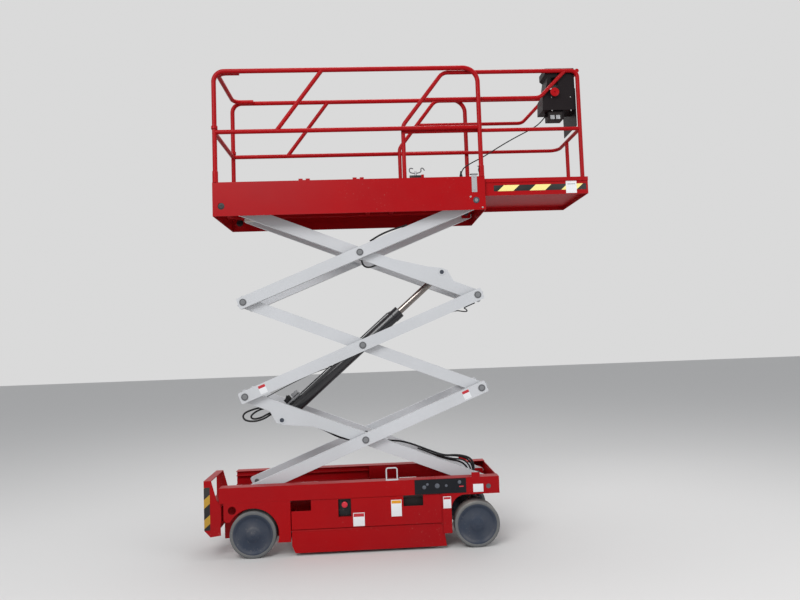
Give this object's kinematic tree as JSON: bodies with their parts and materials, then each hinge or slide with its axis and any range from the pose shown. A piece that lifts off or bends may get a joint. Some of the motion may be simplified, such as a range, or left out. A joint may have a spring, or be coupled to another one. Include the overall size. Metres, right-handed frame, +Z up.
{
  "type": "scissor lift",
  "caption": "Self-propelled electric scissor lift with a narrow chassis, stacked scissor arms, a lift cylinder and a railed platform with a slide-out deck.",
  "frame": {"origin": "on the ground under the middle of the machine's bounding box", "axes": "+X towards the end that the platform extension slides out of and the wheels steer at, +Z up, so +Y is to the machine's left"},
  "size_m": [3.355, 0.82, 4.125],
  "materials": {
    "black_plastic": "moulded black",
    "block_plastic": "pale nylon",
    "cable_rubber": "matt black",
    "dark_steel": "black paint",
    "disc_paint": "dark blue-grey paint",
    "pin_steel": "bare turned steel",
    "red_paint": "gloss red paint",
    "rod_chrome": "hard chrome",
    "tyre_rubber": "light grey non-marking rubber",
    "unit_grey": "grey paint",
    "white_paint": "white paint, slightly worn"
  },
  "bodies": {
    "chassis": {"chassis_frame": "red_paint", "hood_near": "red_paint", "hood_far": "red_paint", "side_panels_near": "red_paint", "side_panels_far": "red_paint", "lower_tracks": "red_paint", "front_axle_beam": "red_paint", "chassis_pivot_pins": "pin_steel", "rear_stub_axles": "pin_steel", "entry_ladder": "red_paint", "ground_controls": "black_plastic"},
    "steer_near": {"steering_knuckle_near": "dark_steel"},
    "steer_far": {"steering_knuckle_far": "dark_steel"},
    "steering_link": {"tie_rod": "dark_steel"},
    "tray_near": {"swing_tray_near": "red_paint", "tray_door_near": "red_paint", "hydraulic_unit": "unit_grey"},
    "tray_far": {"swing_tray_far": "red_paint", "tray_door_far": "red_paint", "battery_pack": "unit_grey"},
    "guard_near": {"pothole_guard_near": "red_paint"},
    "guard_far": {"pothole_guard_far": "red_paint"},
    "inner_1": {"inner_arms_1": "white_paint", "cylinder_foot_pin": "dark_steel"},
    "outer_1": {"outer_arms_1": "white_paint", "arm_pins_1": "pin_steel"},
    "inner_2": {"inner_arms_2": "white_paint"},
    "outer_2": {"outer_arms_2": "white_paint", "arm_pins_2": "pin_steel"},
    "inner_3": {"inner_arms_3": "white_paint", "top_slide_pins": "pin_steel", "cylinder_head_pins": "dark_steel"},
    "outer_3": {"outer_arms_3": "white_paint", "arm_pins_3": "pin_steel"},
    "lower_blocks": {"lower_slide_blocks": "block_plastic"},
    "upper_blocks": {"upper_slide_blocks": "block_plastic"},
    "barrel": {"cylinder_barrel": "dark_steel"},
    "ram": {"cylinder_rod": "rod_chrome"},
    "platform": {"platform_deck": "red_paint", "platform_pivot_pins": "pin_steel", "upper_tracks": "red_paint", "wear_strips": "block_plastic", "side_rail_near": "red_paint", "side_rail_far": "red_paint", "tail_top_rail": "red_paint"},
    "gate_bar": {"entry_bar": "red_paint"},
    "extension": {"extension_deck": "red_paint", "extension_rail": "red_paint", "control_box": "black_plastic", "control_panel_plate": "black_plastic", "control_cable": "cable_rubber"},
    "wheel_rear_near": {"tyre_rear_near": "tyre_rubber", "wheel_disc_rear_near": "disc_paint"},
    "wheel_rear_far": {"tyre_rear_far": "tyre_rubber", "wheel_disc_rear_far": "disc_paint"},
    "wheel_front_near": {"tyre_front_near": "tyre_rubber", "wheel_disc_front_near": "disc_paint"},
    "wheel_front_far": {"tyre_front_far": "tyre_rubber", "wheel_disc_front_far": "disc_paint"}
  },
  "joints": [
    {"name": "lift", "type": "hinge", "parent": "chassis", "child": "inner_1", "pos_m": [0.68301, 0, 0.501], "axis": [0, 1, 0], "range_deg": [-18.19, 38.31]},
    {"name": "first_cross", "type": "hinge", "parent": "inner_1", "child": "outer_1", "pos_m": [-0.33399, 0, 0.90551], "axis": [0, 1, 0], "range_deg": [-76.63, 36.39]},
    {"name": "tail_joint_1", "type": "hinge", "parent": "inner_1", "child": "outer_2", "pos_m": [-1.351, 0, 1.31002], "axis": [0, 1, 0], "range_deg": [-76.63, 36.39]},
    {"name": "nose_joint_1", "type": "hinge", "parent": "outer_1", "child": "inner_2", "pos_m": [0.68301, 0, 1.31002], "axis": [0, 1, 0], "range_deg": [-36.39, 76.63]},
    {"name": "nose_joint_2", "type": "hinge", "parent": "outer_2", "child": "inner_3", "pos_m": [0.68301, 0, 2.11904], "axis": [0, 1, 0], "range_deg": [-36.39, 76.63]},
    {"name": "tail_joint_2", "type": "hinge", "parent": "inner_2", "child": "outer_3", "pos_m": [-1.351, 0, 2.11904], "axis": [0, 1, 0], "range_deg": [-76.63, 36.39]},
    {"name": "platform_pivot", "type": "hinge", "parent": "outer_3", "child": "platform", "pos_m": [0.68301, 0, 2.92806], "axis": [0, 1, 0], "range_deg": [-18.2, 38.32]},
    {"name": "lower_block_pivot", "type": "hinge", "parent": "outer_1", "child": "lower_blocks", "pos_m": [-1.351, 0, 0.501], "axis": [0, 1, 0], "range_deg": [-18.2, 38.32]},
    {"name": "upper_block_pivot", "type": "hinge", "parent": "inner_3", "child": "upper_blocks", "pos_m": [-1.351, 0, 2.92806], "axis": [0, 1, 0], "range_deg": [-38.32, 18.2]},
    {"name": "cylinder_foot", "type": "hinge", "parent": "inner_1", "child": "barrel", "pos_m": [-1.04901, 0, 1.0952], "axis": [0, 1, 0], "range_deg": [-95.79, 45.48]},
    {"name": "cylinder_stroke", "type": "slide", "parent": "barrel", "child": "ram", "axis": [0.7559, 0, 0.6547], "range_m": [-0.3737, 0.7865]},
    {"name": "extension_slide", "type": "slide", "parent": "platform", "child": "extension", "axis": [1, 0, 0], "range_m": [-0.9, 0]},
    {"name": "entry_bar_slide", "type": "slide", "parent": "platform", "child": "gate_bar", "axis": [0, 0, 1], "range_m": [0, 0.36]},
    {"name": "steering_near", "type": "hinge", "parent": "chassis", "child": "steer_near", "pos_m": [0.57701, -0.235, 0.4], "axis": [0, 0, 1], "range_deg": [-60, 60]},
    {"name": "steering_far", "type": "hinge", "parent": "chassis", "child": "steer_far", "pos_m": [0.57701, 0.235, 0.4], "axis": [0, 0, 1], "range_deg": [-60, 60]},
    {"name": "steering_bar", "type": "hinge", "parent": "steer_near", "child": "steering_link", "pos_m": [0.45701, -0.235, 0.4], "axis": [0, 0, 1], "range_deg": [-60, 60]},
    {"name": "tray_swing_near", "type": "hinge", "parent": "chassis", "child": "tray_near", "pos_m": [0.28421, -0.396, 0.33], "axis": [0, 0, 1], "range_deg": [0, 85]},
    {"name": "tray_swing_far", "type": "hinge", "parent": "chassis", "child": "tray_far", "pos_m": [0.28421, 0.396, 0.33], "axis": [0, 0, 1], "range_deg": [-85, 0]},
    {"name": "guard_fold_near", "type": "hinge", "parent": "chassis", "child": "guard_near", "pos_m": [-0.333, -0.388, 0.1997], "axis": [1, 0, 0], "range_deg": [0, 86]},
    {"name": "guard_fold_far", "type": "hinge", "parent": "chassis", "child": "guard_far", "pos_m": [-0.333, 0.388, 0.1997], "axis": [1, 0, 0], "range_deg": [-86, 0]},
    {"name": "wheel_spin_rear_near", "type": "hinge", "parent": "chassis", "child": "wheel_rear_near", "pos_m": [-1.283, -0.3415, 0.1905], "axis": [0, 1, 0], "continuous": true},
    {"name": "wheel_spin_front_near", "type": "hinge", "parent": "steer_near", "child": "wheel_front_near", "pos_m": [0.57701, -0.3415, 0.1905], "axis": [0, 1, 0], "continuous": true},
    {"name": "wheel_spin_rear_far", "type": "hinge", "parent": "chassis", "child": "wheel_rear_far", "pos_m": [-1.283, 0.3415, 0.1905], "axis": [0, 1, 0], "continuous": true},
    {"name": "wheel_spin_front_far", "type": "hinge", "parent": "steer_far", "child": "wheel_front_far", "pos_m": [0.57701, 0.3415, 0.1905], "axis": [0, 1, 0], "continuous": true}
  ],
  "couplings": [
    {"joint": "first_cross", "follows": "lift", "ratio": -2},
    {"joint": "tail_joint_1", "follows": "lift", "ratio": -2},
    {"joint": "nose_joint_1", "follows": "lift", "ratio": 2},
    {"joint": "nose_joint_2", "follows": "lift", "ratio": 2},
    {"joint": "tail_joint_2", "follows": "lift", "ratio": -2},
    {"joint": "platform_pivot", "follows": "lift", "ratio": 1},
    {"joint": "lower_block_pivot", "follows": "lift", "ratio": 1},
    {"joint": "upper_block_pivot", "follows": "lift", "ratio": -1},
    {"joint": "cylinder_foot", "follows": "lift", "ratio": -2.5},
    {"joint": "cylinder_stroke", "follows": "lift", "m_per_rad": 1.1756},
    {"joint": "steering_far", "follows": "steering_near", "ratio": 1},
    {"joint": "steering_bar", "follows": "steering_near", "ratio": -1}
  ]
}
